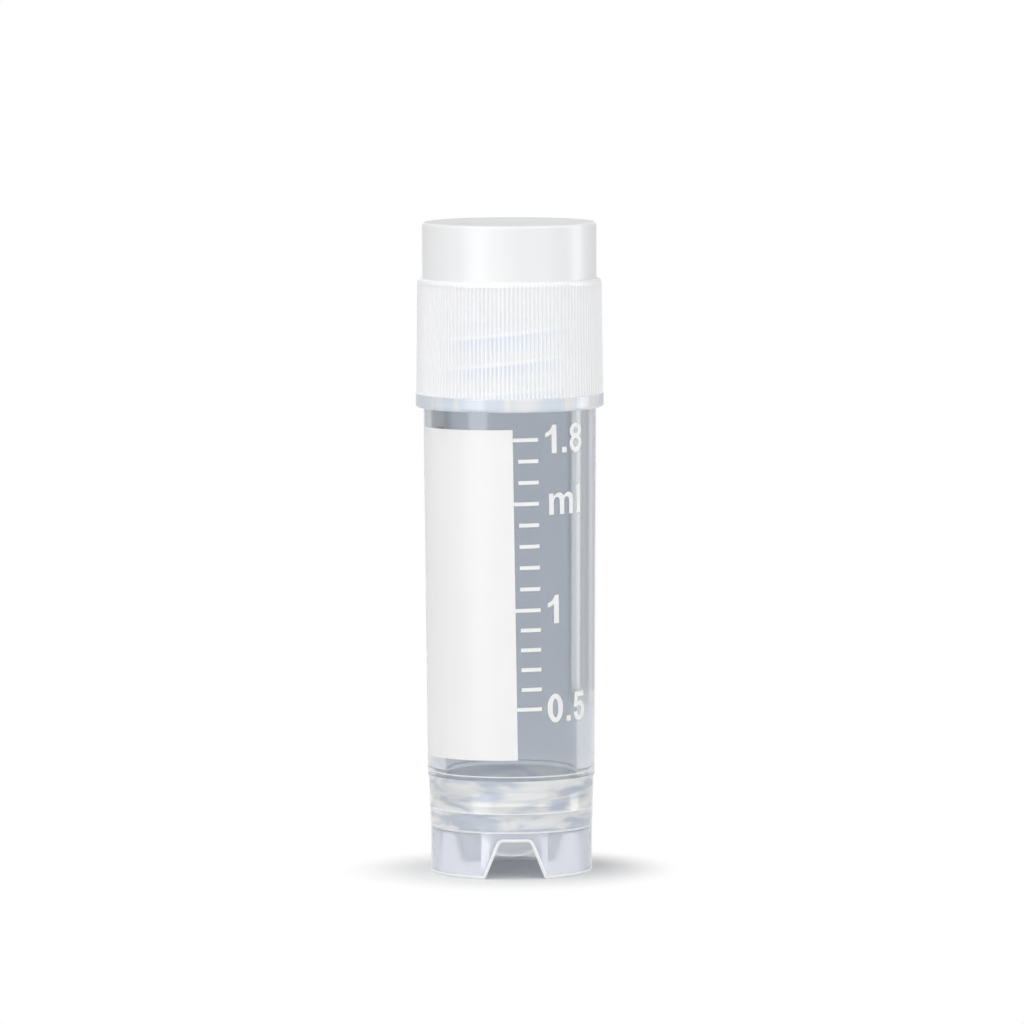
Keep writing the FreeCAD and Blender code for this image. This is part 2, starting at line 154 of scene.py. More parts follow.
# The skirt's own colour, its painted shade under a ridge of the thread inside, and its painted highlight over
# a ridge.
SKIRT, SKIRT_SHADOW, SKIRT_RIDGE_HIGHLIGHT = (0.93, 0.935, 0.955), (0.83, 0.88, 0.965), (0.99, 0.99, 0.99)
BAND_LOW, BAND_HIGH = (0.80, 0.87, 0.965), (0.99, 0.99, 1.0)

# The studio. The floor turns white between two distances from the vial, and the room is brighter above.
PAPER = (0.86, 0.86, 0.86, 1.0)
GLOW_NEAR, GLOW_FAR = 0.0065, 0.0128
ROOM_LOW, ROOM_HIGH, ROOM_CLIMB, ROOM_LEAN = 0.43, 0.62, 0.6, 0.08
FLOOR_SIZE = 6.0
TENT_RADIUS, TENT_HEIGHT, TENT_COLUMNS = 0.12, 0.3, 96
# How bright the tent looks: degrees from the front to the right, and a strength. 180 is straight behind.
TENT_PEAK, TENT_SEEN_THROUGH = 6.0, 1.0
TENT = (
    (-180, 1.0), (-164, 1.0), (-154, 0.62), (-150, 0.5), (-100, 0.6), (-60, 0.9), (-50, 4.2),
    (-34, 4.2), (-26, 0.9), (0, 0.75), (60, 0.7), (86, 0.7), (92, 4.6), (104, 4.6),
    (110, 0.72), (140, 0.72), (154, 0.62), (164, 1.0), (180, 1.0),
)
# Each lamp: degrees to the right of the front, degrees up, distance, size and power.
LAMPS = {
    "overhead": (-60, 65, 0.6, 0.4, 1.3),
    "front left": (-18, 20, 0.7, 0.35, 0.86),
    "right": (48, 20, 0.7, 0.35, 0.72),
}
SENSOR_WIDTH, LENS, NEAREST = 36.0, 297.4, 0.01
BOUNCES = {"max_bounces": 32, "glossy_bounces": 24, "transmission_bounces": 32}
CAMERA_TILT, CAMERA_ROLL = math.radians(5.02), math.radians(-0.22)
CAMERA_TARGET, CAMERA_DISTANCE = Vector((0.127 * MM, 0.0, 26.07 * MM)), 612.1 * MM

# ---------------------------------------------------------------- shader helpers


def add_node(tree, kind, inputs=None, **settings):
    """A shader node with its settings and the values of its inputs."""
    node = tree.nodes.new(kind)
    for name, value in settings.items():
        setattr(node, name, value)
    for name, value in (inputs or {}).items():
        node.inputs[name].default_value = value
    return node


def wire(tree, *ends):
    """Join outputs to inputs: each end is (node, output, node, input)."""
    for source, output, target, name in ends:
        tree.links.new(source.outputs[output], target.inputs[name])


def feed(tree, socket, term):
    """Give an input a value or another node's output."""
    if isinstance(term, bpy.types.NodeSocket):
        tree.links.new(term, socket)
    else:
        socket.default_value = term


def calc(tree, operation, *terms):
    """A Math node's result. Each term is a number or another node's output."""
    node = add_node(tree, "ShaderNodeMath", operation=operation)
    for socket, term in zip(node.inputs, terms):
        feed(tree, socket, term)
    return node.outputs[0]


def product(tree, value, *others):
    """Values multiplied together."""
    for other in others:
        value = calc(tree, "MULTIPLY", value, other)
    return value


def ease(tree, value, low, high):
    """0 at low and 1 at high, eased between them. Each end is a number or another node's output."""
    node = add_node(tree, "ShaderNodeMapRange", interpolation_type="SMOOTHSTEP")
    for name, term in (("Value", value), ("From Min", low), ("From Max", high)):
        feed(tree, node.inputs[name], term)
    return node.outputs["Result"]


def shade(tree, share, first, second):
    """A colour between two. Each is (red, green, blue) or another node's output."""
    node = add_node(tree, "ShaderNodeMix", data_type="RGBA")
    feed(tree, node.inputs["Factor"], share)
    for name, colour in (("A", first), ("B", second)):
        feed(tree, node.inputs[name], (*colour, 1.0) if isinstance(colour, tuple) else colour)
    return node.outputs["Result"]


def split_place(tree, kind="Object"):
    """A place's X, Y and Z, on the piece's own axes unless another kind is named."""
    place = add_node(tree, "ShaderNodeTexCoord")
    split = add_node(tree, "ShaderNodeSeparateXYZ")
    wire(tree, (place, kind, split, "Vector"))
    return split.outputs["X"], split.outputs["Y"], split.outputs["Z"]


def front_turn(tree, x, y):
    """A place's turn from the front to the right."""
    return calc(tree, "ARCTAN2", x, calc(tree, "MULTIPLY", y, -1.0))


def off_groove(tree, turn, count):
    """How far a turn lies from the nearest of some evenly spaced grooves, in pitches."""
    pitches = calc(tree, "DIVIDE", calc(tree, "MULTIPLY", turn, count), math.tau)
    return calc(tree, "ABSOLUTE", calc(tree, "SUBTRACT", pitches, calc(tree, "ROUND", pitches)))


def off_helix(tree, turn, height, thread):
    """How far a place lies above the nearest ridge, and how far up the thread that ridge is there."""
    turned = calc(tree, "DIVIDE", calc(tree, "SUBTRACT", turn, thread["Turn"]), math.tau)
    climbed = calc(tree, "DIVIDE", calc(tree, "SUBTRACT", height, thread["Foot"]), thread["Lead"])
    ridges = calc(tree, "MULTIPLY", calc(tree, "SUBTRACT", climbed, turned), thread["Starts"])
    off_ridge = calc(tree, "SUBTRACT", ridges, calc(tree, "ROUND", ridges))
    above = calc(tree, "DIVIDE", calc(tree, "MULTIPLY", off_ridge, thread["Lead"]), thread["Starts"])
    along = calc(tree, "SUBTRACT", calc(tree, "SUBTRACT", height, above), thread["Foot"])
    return above, along


def drawn_noise(tree, stretch, values, low, high):
    """Soft noise from 0 to 1. Stretched above 1 it lies in flat patches, below 1 in upright streaks."""
    place = add_node(tree, "ShaderNodeTexCoord")
    drawn = add_node(tree, "ShaderNodeMapping", {"Scale": (1.0, 1.0, stretch)})
    noise = add_node(tree, "ShaderNodeTexNoise", values)
    wire(tree, (place, "Object", drawn, "Vector"), (drawn, "Vector", noise, "Vector"))
    return ease(tree, noise.outputs["Fac"], low, high)


def moulded_surface_group():
    """What every moulded or printed face has: fine grain, slow flow marks and uneven gloss."""
    group = bpy.data.node_groups.new("moulded surface", "ShaderNodeTree")
    for way, names in (
        ("INPUT", ("Grain Scale", "Flow Scale", "Gloss Low", "Gloss High", "Grain")),
        ("OUTPUT", ("Roughness", "Height", "Mask")),
    ):
        for name in names:
            group.interface.new_socket(name, in_out=way, socket_type="NodeSocketFloat")
    inside = add_node(group, "NodeGroupInput")
    outside = add_node(group, "NodeGroupOutput")
    place = add_node(group, "ShaderNodeTexCoord")
    grain = add_node(group, "ShaderNodeTexNoise", {"Detail": 4.0, "Roughness": 0.6})
    stretch = add_node(group, "ShaderNodeMapping", {"Scale": (1.0, 1.0, 0.25)})
    flow = add_node(group, "ShaderNodeTexNoise", {"Detail": 2.0, "Roughness": 0.5})
    gloss = add_node(group, "ShaderNodeMapRange", {"From Min": 0.3, "From Max": 0.7})
    share = add_node(group, "ShaderNodeMix", data_type="FLOAT")
    wire(
        group,
        (place, "Object", grain, "Vector"),
        (place, "Object", stretch, "Vector"),
        (stretch, "Vector", flow, "Vector"),
        (inside, "Grain Scale", grain, "Scale"),
        (inside, "Flow Scale", flow, "Scale"),
        (flow, "Fac", gloss, "Value"),
        (inside, "Gloss Low", gloss, "To Min"),
        (inside, "Gloss High", gloss, "To Max"),
        (gloss, "Result", outside, "Roughness"),
        (inside, "Grain", share, "Factor"),
        (flow, "Fac", share, "A"),
        (grain, "Fac", share, "B"),
        (share, "Result", outside, "Height"),
        (flow, "Fac", outside, "Mask"),
    )
    return group


def new_material(name, values, gloss, grain=1200.0, grain_share=0.5, flow=150.0, relief=0.05):
    """A Principled material whose gloss and relief come from the moulded surface group.

    Gives the material, its tree, its colour's input and the mask of the plastic's flow.
    """
    material = bpy.data.materials.new(name)
    material.use_nodes = True
    tree = material.node_tree
    shader = tree.nodes["Principled BSDF"]
    for key, value in values.items():
        shader.inputs[key].default_value = value
    surface = {"Grain Scale": grain, "Grain": grain_share, "Flow Scale": flow}
    surface.update({"Gloss Low": gloss[0], "Gloss High": gloss[1]})
    face = add_node(tree, "ShaderNodeGroup", surface, node_tree=SURFACE)
    bump = add_node(tree, "ShaderNodeBump", {"Strength": relief, "Distance": RELIEF_DEPTH})
    wire(
        tree,
        (face, "Roughness", shader, "Roughness"),
        (face, "Height", bump, "Height"),
        (bump, "Normal", shader, "Normal"),
    )
    return material, tree, shader.inputs["Base Color"], face.outputs["Mask"]


def clear_by(share):
    """The plain values of a hard plastic that lets a share of the light through."""
    return {"IOR": PLASTIC_IOR, "Transmission Weight": share}


# ---------------------------------------------------------------- materials


def plain_finish(name, values, low, high, gloss, **surface):
    """A finish whose colour drifts between two shades with the flow of its plastic."""
    material, tree, colour, flow = new_material(name, values, gloss, **surface)
    feed(tree, colour, shade(tree, flow, low, high))
    return material


def off_panel(tree, x, y, z):
    """0 in the wall that the writing panel covers, 1 round it, eased within its edges."""
    across = calc(tree, "MULTIPLY", front_turn(tree, x, y), SHOULDER_RADIUS)
    left = ease(tree, across, PANEL_LEFT + 0.1, PANEL_LEFT + 0.4)
    right = ease(tree, across, PANEL_RIGHT - 0.05, PANEL_RIGHT - 0.25)
    foot = ease(tree, z, (PANEL_FOOT + 0.1) * MM, (PANEL_FOOT + 0.4) * MM)
    top = ease(tree, z, (PANEL_TOP - 0.1) * MM, (PANEL_TOP - 0.4) * MM)
    return calc(tree, "SUBTRACT", 1.0, product(tree, left, right, foot, top))


def clear_wall():
    """The tube's wall, clear with a cool tint. The neck, the bowl and what the panel covers are paler."""
    name, surface = "clear polypropylene", {"grain": 900.0, "grain_share": 0.3, "flow": 120.0, "relief": 0.04}
    material, tree, colour, flow = new_material(name, clear_by(0.95), (0.03, 0.07), **surface)
    x, y, z = split_place(tree)
    under_neck = ease(tree, z, SHOULDER_HEIGHT * MM, (SHOULDER_HEIGHT - NECK_FADE) * MM)
    over_bowl = ease(tree, z, (STEP_HEIGHT - BOWL_FADE) * MM, (STEP_HEIGHT + BOWL_FADE) * MM)
    tinted = product(tree, under_neck, over_bowl, off_panel(tree, x, y, z))
    feed(tree, colour, shade(tree, tinted, TUBE_PALE, shade(tree, flow, TUBE_LOW, TUBE_HIGH)))
    return material


def base_with_painted_highlights():
    """The thick base in clear plastic, with pale patches drawn out round the tube: painted highlights of
    light refracted in it.
    """
    material, tree, colour, flow = new_material(
        "base with painted highlights", clear_by(0.43), (0.08, 0.16), grain=700.0, grain_share=0.2
    )
    highlight_patches = {"Scale": 300.0, "Detail": 2.0, "Roughness": 0.45, "Distortion": 0.5}
    # Pale painted highlights of refracted light, drawn out round the tube, over the base's tint.
    feed(tree, colour, shade(tree, drawn_noise(tree, 3.8, highlight_patches, 0.38, 0.6), BASE_TINT, BASE_PAINTED_HIGHLIGHT))
    return material


def clear_band():
    """The plain band at the cap's rim: clearer, with pale streaks up and down."""
    material, tree, colour, flow = new_material("clear band", clear_by(0.25), (0.15, 0.25))
    streak = {"Scale": 520.0, "Detail": 3.0, "Roughness": 0.65}
    feed(tree, colour, shade(tree, drawn_noise(tree, 0.05, streak, 0.42, 0.62), BAND_LOW, BAND_HIGH))
    return material


def milky_skirt():
    """The skirt: painted highlights on its ribs and over the ridges of the thread inside, and bluer painted
    shade under a ridge.
    """
    material, tree, colour, flow = new_material("milky skirt", clear_by(0.06), (0.29, 0.36), grain_share=0.12)
    x, y, z = split_place(tree)
    turn = calc(tree, "ARCTAN2", y, x)
    lead, rise = THREAD_LEAD * MM, CAP_THREAD_RISE * MM
    thread = {"Turn": CAP_THREAD_TURN, "Foot": CAP_THREAD_FOOT * MM, "Lead": lead, "Starts": THREAD_STARTS}
    above, along = off_helix(tree, turn, z, thread)
    foot = ease(tree, along, -1.8 * MM, 0.3 * MM)
    top = ease(tree, along, rise + 1.0 * MM, rise - 1.5 * MM)
    wave = calc(tree, "COSINE", product(tree, calc(tree, "SUBTRACT", turn, STREAK_TURN), STREAK_LOBES))
    patchy = product(tree, foot, top, ease(tree, wave, -1.1, 0.9))
    # Painted shade, bluer, that fades downwards from under each ridge, and a painted highlight along each
    # ridge.
    under = calc(tree, "FRACT", product(tree, above, -THREAD_STARTS / lead))
    shadow = product(tree, ease(tree, under, 0.95, 0.0), patchy)
    line = product(tree, ease(tree, calc(tree, "ABSOLUTE", above), 0.2 * MM, 0.06 * MM), patchy)
    # A painted highlight, white, along the middle of each rib's land.
    crest = ease(tree, off_groove(tree, turn, RIB_COUNT), 0.24, 0.42)
    between_ribs = shade(tree, line, shade(tree, shadow, SKIRT, SKIRT_SHADOW), SKIRT_RIDGE_HIGHLIGHT)
    feed(tree, colour, shade(tree, crest, between_ribs, WHITE))
    return material


def floor_paper():
    """White matt paper. It keeps the shadow near the vial. Further off, and in gloss, it is plain white."""
    material = bpy.data.materials.new("floor paper")
    material.use_nodes = True
    tree = material.node_tree
    shader = tree.nodes["Principled BSDF"]
    for name, value in (("Base Color", PAPER), ("Roughness", 0.9), ("Specular IOR Level", 0.0)):
        shader.inputs[name].default_value = value
    glow = add_node(tree, "ShaderNodeEmission", {"Color": (*WHITE, 1.0), "Strength": 1.0})
    ray = add_node(tree, "ShaderNodeLightPath")
    place = add_node(tree, "ShaderNodeTexCoord")
    reach = add_node(tree, "ShaderNodeVectorMath", operation="LENGTH")
    blend = add_node(tree, "ShaderNodeMixShader")
    wire(
        tree,
        (place, "Object", reach, 0),
        (shader, "BSDF", blend, 1),
        (glow, "Emission", blend, 2),
        (blend, "Shader", tree.nodes["Material Output"], "Surface"),
    )
    far = ease(tree, reach.outputs["Value"], GLOW_NEAR, GLOW_FAR)
    white = product(tree, far, ray.outputs["Is Camera Ray"])
    for name in ("Is Glossy Ray", "Is Transmission Ray"):
        white = calc(tree, "MAXIMUM", white, ray.outputs[name])
    feed(tree, blend.inputs["Fac"], white)
    return material


def tent_cloth():
    """The light tent's glow, all the way round. Seen through clear plastic, its bright strips are dimmed."""
    material = bpy.data.materials.new("tent cloth")
    material.use_nodes = True
    tree = material.node_tree
    tree.nodes.remove(tree.nodes["Principled BSDF"])
    x, y, z = split_place(tree)
    spread = add_node(tree, "ShaderNodeMapRange", {"From Min": -math.pi, "From Max": math.pi})
    feed(tree, spread.inputs["Value"], front_turn(tree, x, y))
    level = add_node(tree, "ShaderNodeFloatCurve")
    curve = level.mapping.curves[0]
    level.mapping.use_clip = False
    while len(curve.points) < len(TENT):
        curve.points.new(0.5, 0.5)
    for point, (degrees, strength) in zip(curve.points, TENT):
        point.location = ((degrees + 180.0) / 360.0, strength / TENT_PEAK)
        point.handle_type = "AUTO_CLAMPED"
    level.mapping.update()
    bright = calc(tree, "MULTIPLY", level.outputs["Value"], TENT_PEAK)
    ray = add_node(tree, "ShaderNodeLightPath")
    seen = add_node(tree, "ShaderNodeMix", data_type="FLOAT")
    lamp = add_node(tree, "ShaderNodeEmission", {"Color": (*WHITE, 1.0)})
    feed(tree, seen.inputs["A"], bright)
    feed(tree, seen.inputs["B"], calc(tree, "MINIMUM", bright, TENT_SEEN_THROUGH))
    wire(
        tree,
        (spread, "Result", level, "Value"),
        (ray, "Is Transmission Ray", seen, "Factor"),
        (seen, "Result", lamp, "Strength"),
        (lamp, "Emission", tree.nodes["Material Output"], "Surface"),
    )
    return material


# ---------------------------------------------------------------- turned shapes


def rounded(corners, closed=False):
    """Points and left-hand normals of a line through (x, y, round) corners, each cut to its round."""
    places = [Vector(corner[:2]) for corner in corners]
    path = []
    for number, (x, y, radius) in enumerate(corners):
        here = places[number]
        into = here - places[number - 1] if number or closed else None
        out = places[(number + 1) % len(places)] - here if number + 1 < len(places) or closed else into
        into = (into or out).normalized()
        out = out.normalized()
        normal = Vector((-into.y, into.x))
        turn = math.atan2(into.cross(out), into.dot(out))
        if not radius:
            path.append((here, Matrix.Rotation(turn / 2, 2) @ normal))
            continue
        arm = math.copysign(radius, turn)
        centre = here - into * radius * math.tan(abs(turn) / 2) + normal * arm
        steps = ROUND_STEPS + round(radius * STEPS_PER_MM)
        for step in range(steps + 1):
            turned = Matrix.Rotation(turn * step / steps, 2) @ normal
            path.append((centre - turned * arm, turned))
    return path


def divide(path, spacing):
    """Fill the straight stretches of a path so that no step is longer than the spacing."""
    filled = path[:1]
    for (start, normal), (end, after) in zip(path, path[1:]):
        steps = math.ceil((end - start).length / spacing)
        for step in range(1, steps + 1):
            share = step / steps
            filled.append((start.lerp(end, share), normal.lerp(after, share)))
    return filled


def at(turn, radius, height):
    """A point at a turn from the front to the right, in millimetres."""
    return Vector((radius * math.sin(turn), -radius * math.cos(turn), height))


def turned_rows(profile, turns):
    """Rings of points, one for each (radius, height) of a profile."""
    return [[at(turn, radius, height) for turn in turns] for radius, height in profile]


def skin(rows, closed=False):
    """A bmesh skin over rings of points: a loop of rings, or a line of them with a pole at each end."""
    mesh = bmesh.new()
    rings = [[mesh.verts.new(point * MM) for point in row] for row in rows]
    following = rings[1:] + (rings[:1] if closed else [])
    for ring, after in zip(rings, following):
        for k in range(len(ring)):
            mesh.faces.new((ring[k - 1], ring[k], after[k], after[k - 1]))
    for ring in () if closed else (rings[0], rings[-1]):
        middle = sum((vert.co for vert in ring), Vector()) / len(ring)
        pole = mesh.verts.new((0.0, 0.0, middle.z))
        for k in range(len(ring)):
            mesh.faces.new((ring[k - 1], ring[k], pole))
    bmesh.ops.recalc_face_normals(mesh, faces=mesh.faces)
    return mesh


def put_in_scene(name, data):
    """An object for a mesh, a lamp or a camera."""
    holder = bpy.data.objects.new(name, data)
    bpy.context.scene.collection.objects.link(holder)
    return holder


def new_holder(name, mesh, *materials):
    """An object for a bmesh, with its materials."""
    data = bpy.data.meshes.new(name)
    mesh.to_mesh(data)
    mesh.free()
    for material in materials:
        data.materials.append(material)
    return put_in_scene(name, data)


def make_plain(holder):
    """Turn an object with modifiers into a plain mesh."""
    bpy.context.view_layer.update()
    data = bpy.data.meshes.new_from_object(holder.evaluated_get(bpy.context.evaluated_depsgraph_get()))
    holder.modifiers.clear()
    stale = holder.data
    data.name = holder.name
    holder.data = data
    bpy.data.meshes.remove(stale)


def paint(holder, finishes, choose):
    """Give a piece more finishes, and each face the one that is chosen by its number, height and reach."""
    for material in finishes[1:]:
        holder.data.materials.append(material)
    slots = {material.name: slot for slot, material in enumerate(finishes)}
    for face in holder.data.polygons:
        reach = math.hypot(face.center.x, face.center.y) / MM
        face.material_index = slots[choose(face.index, face.center.z / MM, reach).name]


def finish_moulding(holder, node):
    """Smooth shading that keeps flats flat, then the piece takes the place of its CAD node."""
    holder.data.shade_smooth()
    holder.data.set_sharp_from_angle(angle=SHARP_ANGLE)
    evener = holder.modifiers.new("even shading", "WEIGHTED_NORMAL")
    evener.keep_sharp = True
    make_plain(holder)
    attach(holder, node)
    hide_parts(node)


# ---------------------------------------------------------------- Geometry Nodes


def new_tree(name, sizes, counts=()):
    """A Geometry Nodes tree with named inputs. Gives the tree, its input node and its output node."""
    tree = bpy.data.node_groups.new(name, "GeometryNodeTree")
    kinds = {"Geometry": "Geometry", **dict.fromkeys(sizes, "Float"), **dict.fromkeys(counts, "Int")}
    for label, kind in {**kinds, "Material": "Material"}.items():
        tree.interface.new_socket(label, in_out="INPUT", socket_type=f"NodeSocket{kind}")
    tree.interface.new_socket("Geometry", in_out="OUTPUT", socket_type="NodeSocketGeometry")
    return tree, add_node(tree, "NodeGroupInput"), add_node(tree, "NodeGroupOutput")


def end_tree(tree, geometry, given, result):
    """Every tree ends with its instances made real and its material set."""
    real = add_node(tree, "GeometryNodeRealizeInstances")
    painted = add_node(tree, "GeometryNodeSetMaterial")
    tree.links.new(geometry, real.inputs["Geometry"])
    wire(
        tree,
        (real, "Geometry", painted, "Geometry"),
        (given, "Material", painted, "Material"),
        (painted, "Geometry", result, "Geometry"),
    )


def round_the_axis(tree):
    """Each point's turn from +X, its distance from the axis, its height, and the way out from the axis."""
    place = add_node(tree, "GeometryNodeInputPosition")
    split = add_node(tree, "ShaderNodeSeparateXYZ")
    level = add_node(tree, "ShaderNodeCombineXYZ")
    out = add_node(tree, "ShaderNodeVectorMath", operation="NORMALIZE")
    reach = add_node(tree, "ShaderNodeVectorMath", operation="LENGTH")
    wire(
        tree,
        (place, "Position", split, "Vector"),
        (split, "X", level, "X"),
        (split, "Y", level, "Y"),
        (level, "Vector", out, 0),
        (level, "Vector", reach, 0),
    )
    turn = calc(tree, "ARCTAN2", split.outputs["Y"], split.outputs["X"])
    return turn, reach.outputs["Value"], split.outputs["Z"], out.outputs["Vector"]


def move_wall(tree, given, result, place, distance):
    """End a tree that moves the points of one round wall, between two heights, out from the axis."""
    turn, reach, height, out = place
    ask = given.outputs
    off = calc(tree, "ABSOLUTE", calc(tree, "SUBTRACT", reach, ask["Wall Radius"]))
    near = calc(tree, "LESS_THAN", off, ask["Wall Slack"])
    above = calc(tree, "GREATER_THAN", height, ask["Low"])
    below = calc(tree, "LESS_THAN", height, ask["High"])
    offset = add_node(tree, "ShaderNodeVectorMath", operation="SCALE")
    move = add_node(tree, "GeometryNodeSetPosition")
    feed(tree, offset.inputs[0], out)
    feed(tree, offset.inputs["Scale"], distance)
    feed(tree, move.inputs["Selection"], product(tree, near, above, below))
    wire(tree, (given, "Geometry", move, "Geometry"), (offset, "Vector", move, "Offset"))
    end_tree(tree, move.outputs["Geometry"], given, result)


def screw_thread_tree():
    """Ridges that climb a round wall on a right-handed helix and run out softly at both ends."""
    wall = ("Wall Radius", "Wall Slack", "Low", "High")
    helix = ("Lead", "Turn", "Foot", "Rise", "Run Out", "Ridge", "Root Width", "Crest Width")
    tree, given, result = new_tree("screw thread", wall + helix, ("Starts",))
    ask = given.outputs
    place = round_the_axis(tree)
    above, along = off_helix(tree, place[0], place[2], ask)
    root = calc(tree, "DIVIDE", ask["Root Width"], 2.0)
    crest = calc(tree, "DIVIDE", ask["Crest Width"], 2.0)
    shape = ease(tree, calc(tree, "ABSOLUTE", above), root, crest)
    rising = ease(tree, along, 0.0, ask["Run Out"])
    falling = ease(tree, along, ask["Rise"], calc(tree, "SUBTRACT", ask["Rise"], ask["Run Out"]))
    share = calc(tree, "MULTIPLY", shape, calc(tree, "MULTIPLY", rising, falling))
    move_wall(tree, given, result, place, calc(tree, "MULTIPLY", share, ask["Ridge"]))
    return tree


def grip_ribs_tree():
    """Grooves cut into a round wall, evenly spaced, which leave ribs with flat lands between them."""
    sizes = ("Wall Radius", "Wall Slack", "Low", "High", "Depth", "Land")
    tree, given, result = new_tree("grip ribs", sizes, ("Count",))
    ask = given.outputs
    place = round_the_axis(tree)
    away = off_groove(tree, place[0], ask["Count"])
    half = calc(tree, "DIVIDE", calc(tree, "SUBTRACT", 1.0, ask["Land"]), 2.0)
    cut = calc(tree, "MAXIMUM", calc(tree, "SUBTRACT", 1.0, calc(tree, "DIVIDE", away, half)), 0.0)
    move_wall(tree, given, result, place, product(tree, cut, ask["Depth"], -1.0))
    return tree


def graduation_tree():
    """A stroke at each point of a scale line, from the point to the left as far as the point's own reach."""
    tree, given, result = new_tree("graduation strokes", ("Stroke Width",))
    grid = {"Size X": 1.0, "Size Y": 1.0, "Vertices X": 2, "Vertices Y": 2}
    stroke = add_node(tree, "GeometryNodeMeshGrid", grid)
    reach = add_node(tree, "GeometryNodeInputNamedAttribute", {"Name": REACH}, data_type="FLOAT")
    size = add_node(tree, "ShaderNodeCombineXYZ", {"Z": 1.0})
    spread = add_node(tree, "GeometryNodeInstanceOnPoints")
    back = add_node(tree, "ShaderNodeCombineXYZ")
    shift = add_node(tree, "GeometryNodeTranslateInstances")
    shift.inputs["Local Space"].default_value = False
    feed(tree, back.inputs["X"], calc(tree, "MULTIPLY", reach.outputs["Attribute"], -0.5))
    wire(
        tree,
        (given, "Geometry", spread, "Points"),
        (stroke, "Mesh", spread, "Instance"),
        (reach, "Attribute", size, "X"),
        (given, "Stroke Width", size, "Y"),
        (size, "Vector", spread, "Scale"),
        (spread, "Instances", shift, "Instances"),
        (back, "Vector", shift, "Translation"),
    )
    end_tree(tree, shift.outputs["Instances"], given, result)
    return tree


def grow(holder, tree, values, **sizes):
    """Add a tree to an object as a modifier, its inputs set by name. Sizes are in millimetres."""
    values = {**values, **{name.replace("_", " ").title(): size * MM for name, size in sizes.items()}}
    modifier = holder.modifiers.new(tree.name, "NODES")
    modifier.node_group = tree
    for item in tree.interface.items_tree:
        if item.in_out == "INPUT" and item.name in values:
            modifier[item.identifier] = values[item.name]


def grow_thread(holder, material, turn, foot, rise, **sizes):
    """Add a thread to one of a moulding's round walls."""
    values = {"Starts": THREAD_STARTS, "Turn": turn, "Material": material}
    sizes.update(foot=foot, rise=rise, low=foot - THREAD_MARGIN, high=foot + rise + THREAD_MARGIN)
    sizes.update(wall_slack=WALL_SLACK, lead=THREAD_LEAD, run_out=THREAD_RUN_OUT, root_width=ROOT_WIDTH)
    grow(holder, THREAD, values, **sizes)


# ---------------------------------------------------------------- the mouldings


def tube_radius(height):
    """The tube's outside radius at a height."""
    return SHOULDER_RADIUS - (SHOULDER_HEIGHT - height) * math.tan(TUBE_DRAFT)


def thread_rows(low, high, spacing):
    """Heights close enough to carry a thread's ridges."""
    count = round((high - low) / spacing)
    return [low + (high - low) * k / count for k in range(count + 1)]


def dome_profile():
    """The dome that hangs in the foot's recess, from its lowest ring out to its edge."""
    rise = RECESS_HEIGHT - DOME_LOW
    radius = (DOME_RADIUS**2 + rise**2) / (2 * rise)
    span = math.asin(DOME_RADIUS / radius)
    turns = [span * k / DOME_STEPS for k in range(1, DOME_STEPS + 1)]
    return [(radius * math.sin(turn), DOME_LOW + radius * (1 - math.cos(turn))) for turn in turns]


def foot_turn(across, radius):
    """The turn from a notch's middle at which a place along the foot lies, on a wall of some radius.

    A notch is cut straight through, so it has the same width on both walls. The feet even that out.
    """
    edge = NOTCH_FOOT / 2 + TOE_ROUND
    if abs(across) <= edge:
        return math.asin(across / radius)
    middle = FOOT_RADIUS * math.pi / NOTCH_COUNT
    start = math.asin(edge / radius)
    share = (abs(across) - edge) / (middle - edge)
    return math.copysign(start + (math.pi / NOTCH_COUNT - start) * share, across)


def foot_rim():
    """Rings round the rim of the foot skirt, from its inner wall under the rim to its outer wall."""
    middle = FOOT_RADIUS * math.pi / NOTCH_COUNT
    side = [(NOTCH_TOP / 2, NOTCH_HEIGHT, NOTCH_ROUND), (NOTCH_FOOT / 2, 0.0, TOE_ROUND), (middle, 0.0, 0.0)]
    corners = [(-across, height, bend) for across, height, bend in reversed(side)] + side
    outline = divide(rounded(corners), COLUMN_WIDTH)[:-1]
    section = [(INNER_ROUND + EDGE_STRIP, RECESS_RADIUS)]
    for step in range(ROUND_STEPS + 1):
        turn = math.pi / 2 * (1 - step / ROUND_STEPS)
        lift = INNER_ROUND * (1 - math.cos(turn))
        section.append((lift, RECESS_RADIUS + INNER_ROUND * (1 - math.sin(turn))))
    for step in range(ROUND_STEPS + 1):
        turn = math.pi / 2 * step / ROUND_STEPS
        lift = OUTER_ROUND * (1 - math.sin(math.pi / 2 - turn))
        section.append((lift, FOOT_RADIUS - OUTER_ROUND * (1 - math.sin(turn))))
    section.append((OUTER_ROUND + EDGE_STRIP, FOOT_RADIUS))
    rings = [[] for row in section]
    for ring, (lift, radius) in zip(rings, section):
        for notch in range(NOTCH_COUNT):
            for place, normal in outline:
                across, height = place + normal * lift
                turn = NOTCH_TURN + math.tau * notch / NOTCH_COUNT + foot_turn(across, radius)
                ring.append((turn, radius, height))
    return rings


def ring_line(height, low_radius, high_radius):
    """Three places of a profile that raise a fine ring at a height, between two radii."""
    share = (height - FOOT_HEIGHT) / (STEP_HEIGHT - STEP_RISE - FOOT_HEIGHT)
    radius = low_radius + (high_radius - low_radius) * min(share, 1.0)
    return [
        (radius, height - RING_WIDTH / 2, 0.0),
        (radius + RING_RISE, height, 0.0),
        (radius, height + RING_WIDTH / 2, 0.0),
    ]


